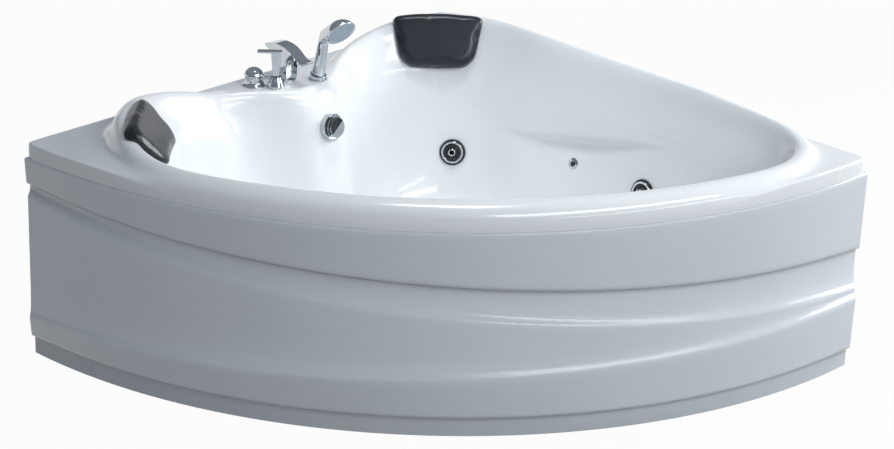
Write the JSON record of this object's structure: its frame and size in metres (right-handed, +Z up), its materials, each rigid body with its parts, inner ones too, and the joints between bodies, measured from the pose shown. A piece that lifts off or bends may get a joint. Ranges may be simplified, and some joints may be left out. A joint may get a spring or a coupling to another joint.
{
  "type": "corner bathtub",
  "caption": "Quarter-round white acrylic corner bathtub with curved skirt, hydro jets, headrests, deck taps, pull-out hand shower, overflow knob and circulation pump.",
  "frame": {"origin": "middle of the square footprint, on the floor", "axes": "+Z up; the room's walls stand along +X and +Y, the curved skirt faces -X and -Y"},
  "size_m": [1.4996, 1.4996, 0.7679],
  "materials": {
    "acrylic": "gloss",
    "plinth": "satin",
    "board": "raw",
    "frame_paint": "satin",
    "plated_steel": "zinc plated",
    "black_rubber": "matte",
    "headrest_skin": "smooth skin",
    "chrome": "polished",
    "brass": "machined",
    "spray_plate": "satin",
    "jet_plastic": "satin",
    "nozzle_plastic": "gloss",
    "pipe": "satin",
    "pump_plastic": "moulded",
    "motor_paint": "satin"
  },
  "bodies": {
    "tub": {"base_board": "board", "cross_rails": "frame_paint", "diverter_body": "chrome", "drain_body": "chrome", "foot_nuts": "plated_steel", "foot_pads": "black_rubber", "foot_studs": "plated_steel", "front_rail": "frame_paint", "front_skirt": "acrylic", "headrest_back": "headrest_skin", "headrest_left": "headrest_skin", "jet_body_corner": "jet_plastic", "jet_body_front": "jet_plastic", "jet_body_left": "jet_plastic", "jet_body_right": "jet_plastic", "jet_nuts": "jet_plastic", "mini_jet_bodies": "jet_plastic", "mini_jet_caps": "chrome", "mixer_body": "chrome", "overflow_body": "pipe", "overflow_pipe": "pipe", "overflow_ring": "chrome", "plinth_strip": "plinth", "pressure_pipe": "pipe", "pump_base": "pump_plastic", "pump_fan_cover": "pump_plastic", "pump_motor": "motor_paint", "pump_volute": "pump_plastic", "shower_holder": "chrome", "skirt_brackets": "plated_steel", "spout": "chrome", "suction_body": "jet_plastic", "suction_cover": "nozzle_plastic", "suction_pipe": "pipe", "tap_nuts": "brass", "top_rails": "frame_paint", "trap_pipe": "pipe", "tub_shell": "acrylic", "uprights": "frame_paint", "wall_rails": "frame_paint"},
    "mixer_cone": {"mixer_cap": "chrome", "mixer_pin": "plated_steel"},
    "mixer_handle": {"mixer_lever": "chrome"},
    "diverter_handle": {"diverter_knob": "chrome"},
    "hand_shower": {"shower_handle": "chrome", "shower_head": "chrome", "shower_face": "spray_plate"},
    "overflow_handle": {"overflow_knob": "chrome"},
    "plug": {"drain_plug": "chrome"},
    "fan": {"pump_fan": "pump_plastic"},
    "face_corner": {"jet_face_corner": "chrome"},
    "nozzle_corner": {"jet_nozzle_corner": "nozzle_plastic"},
    "face_right": {"jet_face_right": "chrome"},
    "nozzle_right": {"jet_nozzle_right": "nozzle_plastic"},
    "face_left": {"jet_face_left": "chrome"},
    "nozzle_left": {"jet_nozzle_left": "nozzle_plastic"},
    "face_front": {"jet_face_front": "chrome"},
    "nozzle_front": {"jet_nozzle_front": "nozzle_plastic"}
  },
  "joints": [
    {"name": "mixer_turn", "type": "hinge", "parent": "tub", "child": "mixer_cone", "pos_m": [0.002, 0.634, 0.5803], "axis": [0, 0, 1], "range_deg": [-45, 45]},
    {"name": "mixer_lift", "type": "hinge", "parent": "mixer_cone", "child": "mixer_handle", "pos_m": [0.002, 0.634, 0.6033], "axis": [0.7314, 0.682, 0], "range_deg": [0, 20]},
    {"name": "diverter_turn", "type": "hinge", "parent": "tub", "child": "diverter_handle", "pos_m": [-0.029, 0.687, 0.5803], "axis": [0, 0, 1], "range_deg": [0, 90]},
    {"name": "shower_pull", "type": "slide", "parent": "tub", "child": "hand_shower", "axis": [-0.0327, -0.2139, 0.9763], "range_m": [0, 0.2]},
    {"name": "overflow_turn", "type": "hinge", "parent": "tub", "child": "overflow_handle", "pos_m": [0.09868, 0.52867, 0.47376], "axis": [0.0423, -0.9859, 0.1621], "range_deg": [0, 90]},
    {"name": "plug_lift", "type": "slide", "parent": "tub", "child": "plug", "axis": [0, 0, 1], "range_m": [0, 0.012]},
    {"name": "fan_spin", "type": "hinge", "parent": "tub", "child": "fan", "pos_m": [-0.53722, 0.40185, 0.148], "axis": [0, 1, 0], "continuous": true},
    {"name": "face_turn_corner", "type": "hinge", "parent": "tub", "child": "face_corner", "pos_m": [0.54284, 0.48869, 0.29969], "axis": [-0.7897, -0.56, 0.2505], "range_deg": [-90, 90]},
    {"name": "nozzle_tilt_corner", "type": "hinge", "parent": "face_corner", "child": "nozzle_corner", "pos_m": [0.54008, 0.48673, 0.30057], "axis": [0.5785, -0.8157, 0], "range_deg": [-12, 12]},
    {"name": "face_turn_right", "type": "hinge", "parent": "tub", "child": "face_right", "pos_m": [0.60043, -0.15181, 0.34962], "axis": [-0.9759, 0.0159, 0.2178], "range_deg": [-90, 90]},
    {"name": "nozzle_tilt_right", "type": "hinge", "parent": "face_right", "child": "nozzle_right", "pos_m": [0.59702, -0.15175, 0.35039], "axis": [-0.0163, -0.9999, 0], "range_deg": [-12, 12]},
    {"name": "face_turn_left", "type": "hinge", "parent": "tub", "child": "face_left", "pos_m": [-0.41749, 0.49943, 0.2996], "axis": [0.7416, -0.5943, 0.3113], "range_deg": [-90, 90]},
    {"name": "nozzle_tilt_left", "type": "hinge", "parent": "face_left", "child": "nozzle_left", "pos_m": [-0.41489, 0.49735, 0.30069], "axis": [0.6254, 0.7803, 0], "range_deg": [-12, 12]},
    {"name": "face_turn_front", "type": "hinge", "parent": "tub", "child": "face_front", "pos_m": [-0.07044, -0.31944, 0.36464], "axis": [0.5748, 0.783, 0.2377], "range_deg": [-90, 90]},
    {"name": "nozzle_tilt_front", "type": "hinge", "parent": "face_front", "child": "nozzle_front", "pos_m": [-0.06843, -0.3167, 0.36547], "axis": [-0.8061, 0.5918, 0], "range_deg": [-12, 12]}
  ],
  "couplings": [
    {"joint": "plug_lift", "follows": "overflow_turn", "m_per_rad": 0.0076394}
  ]
}
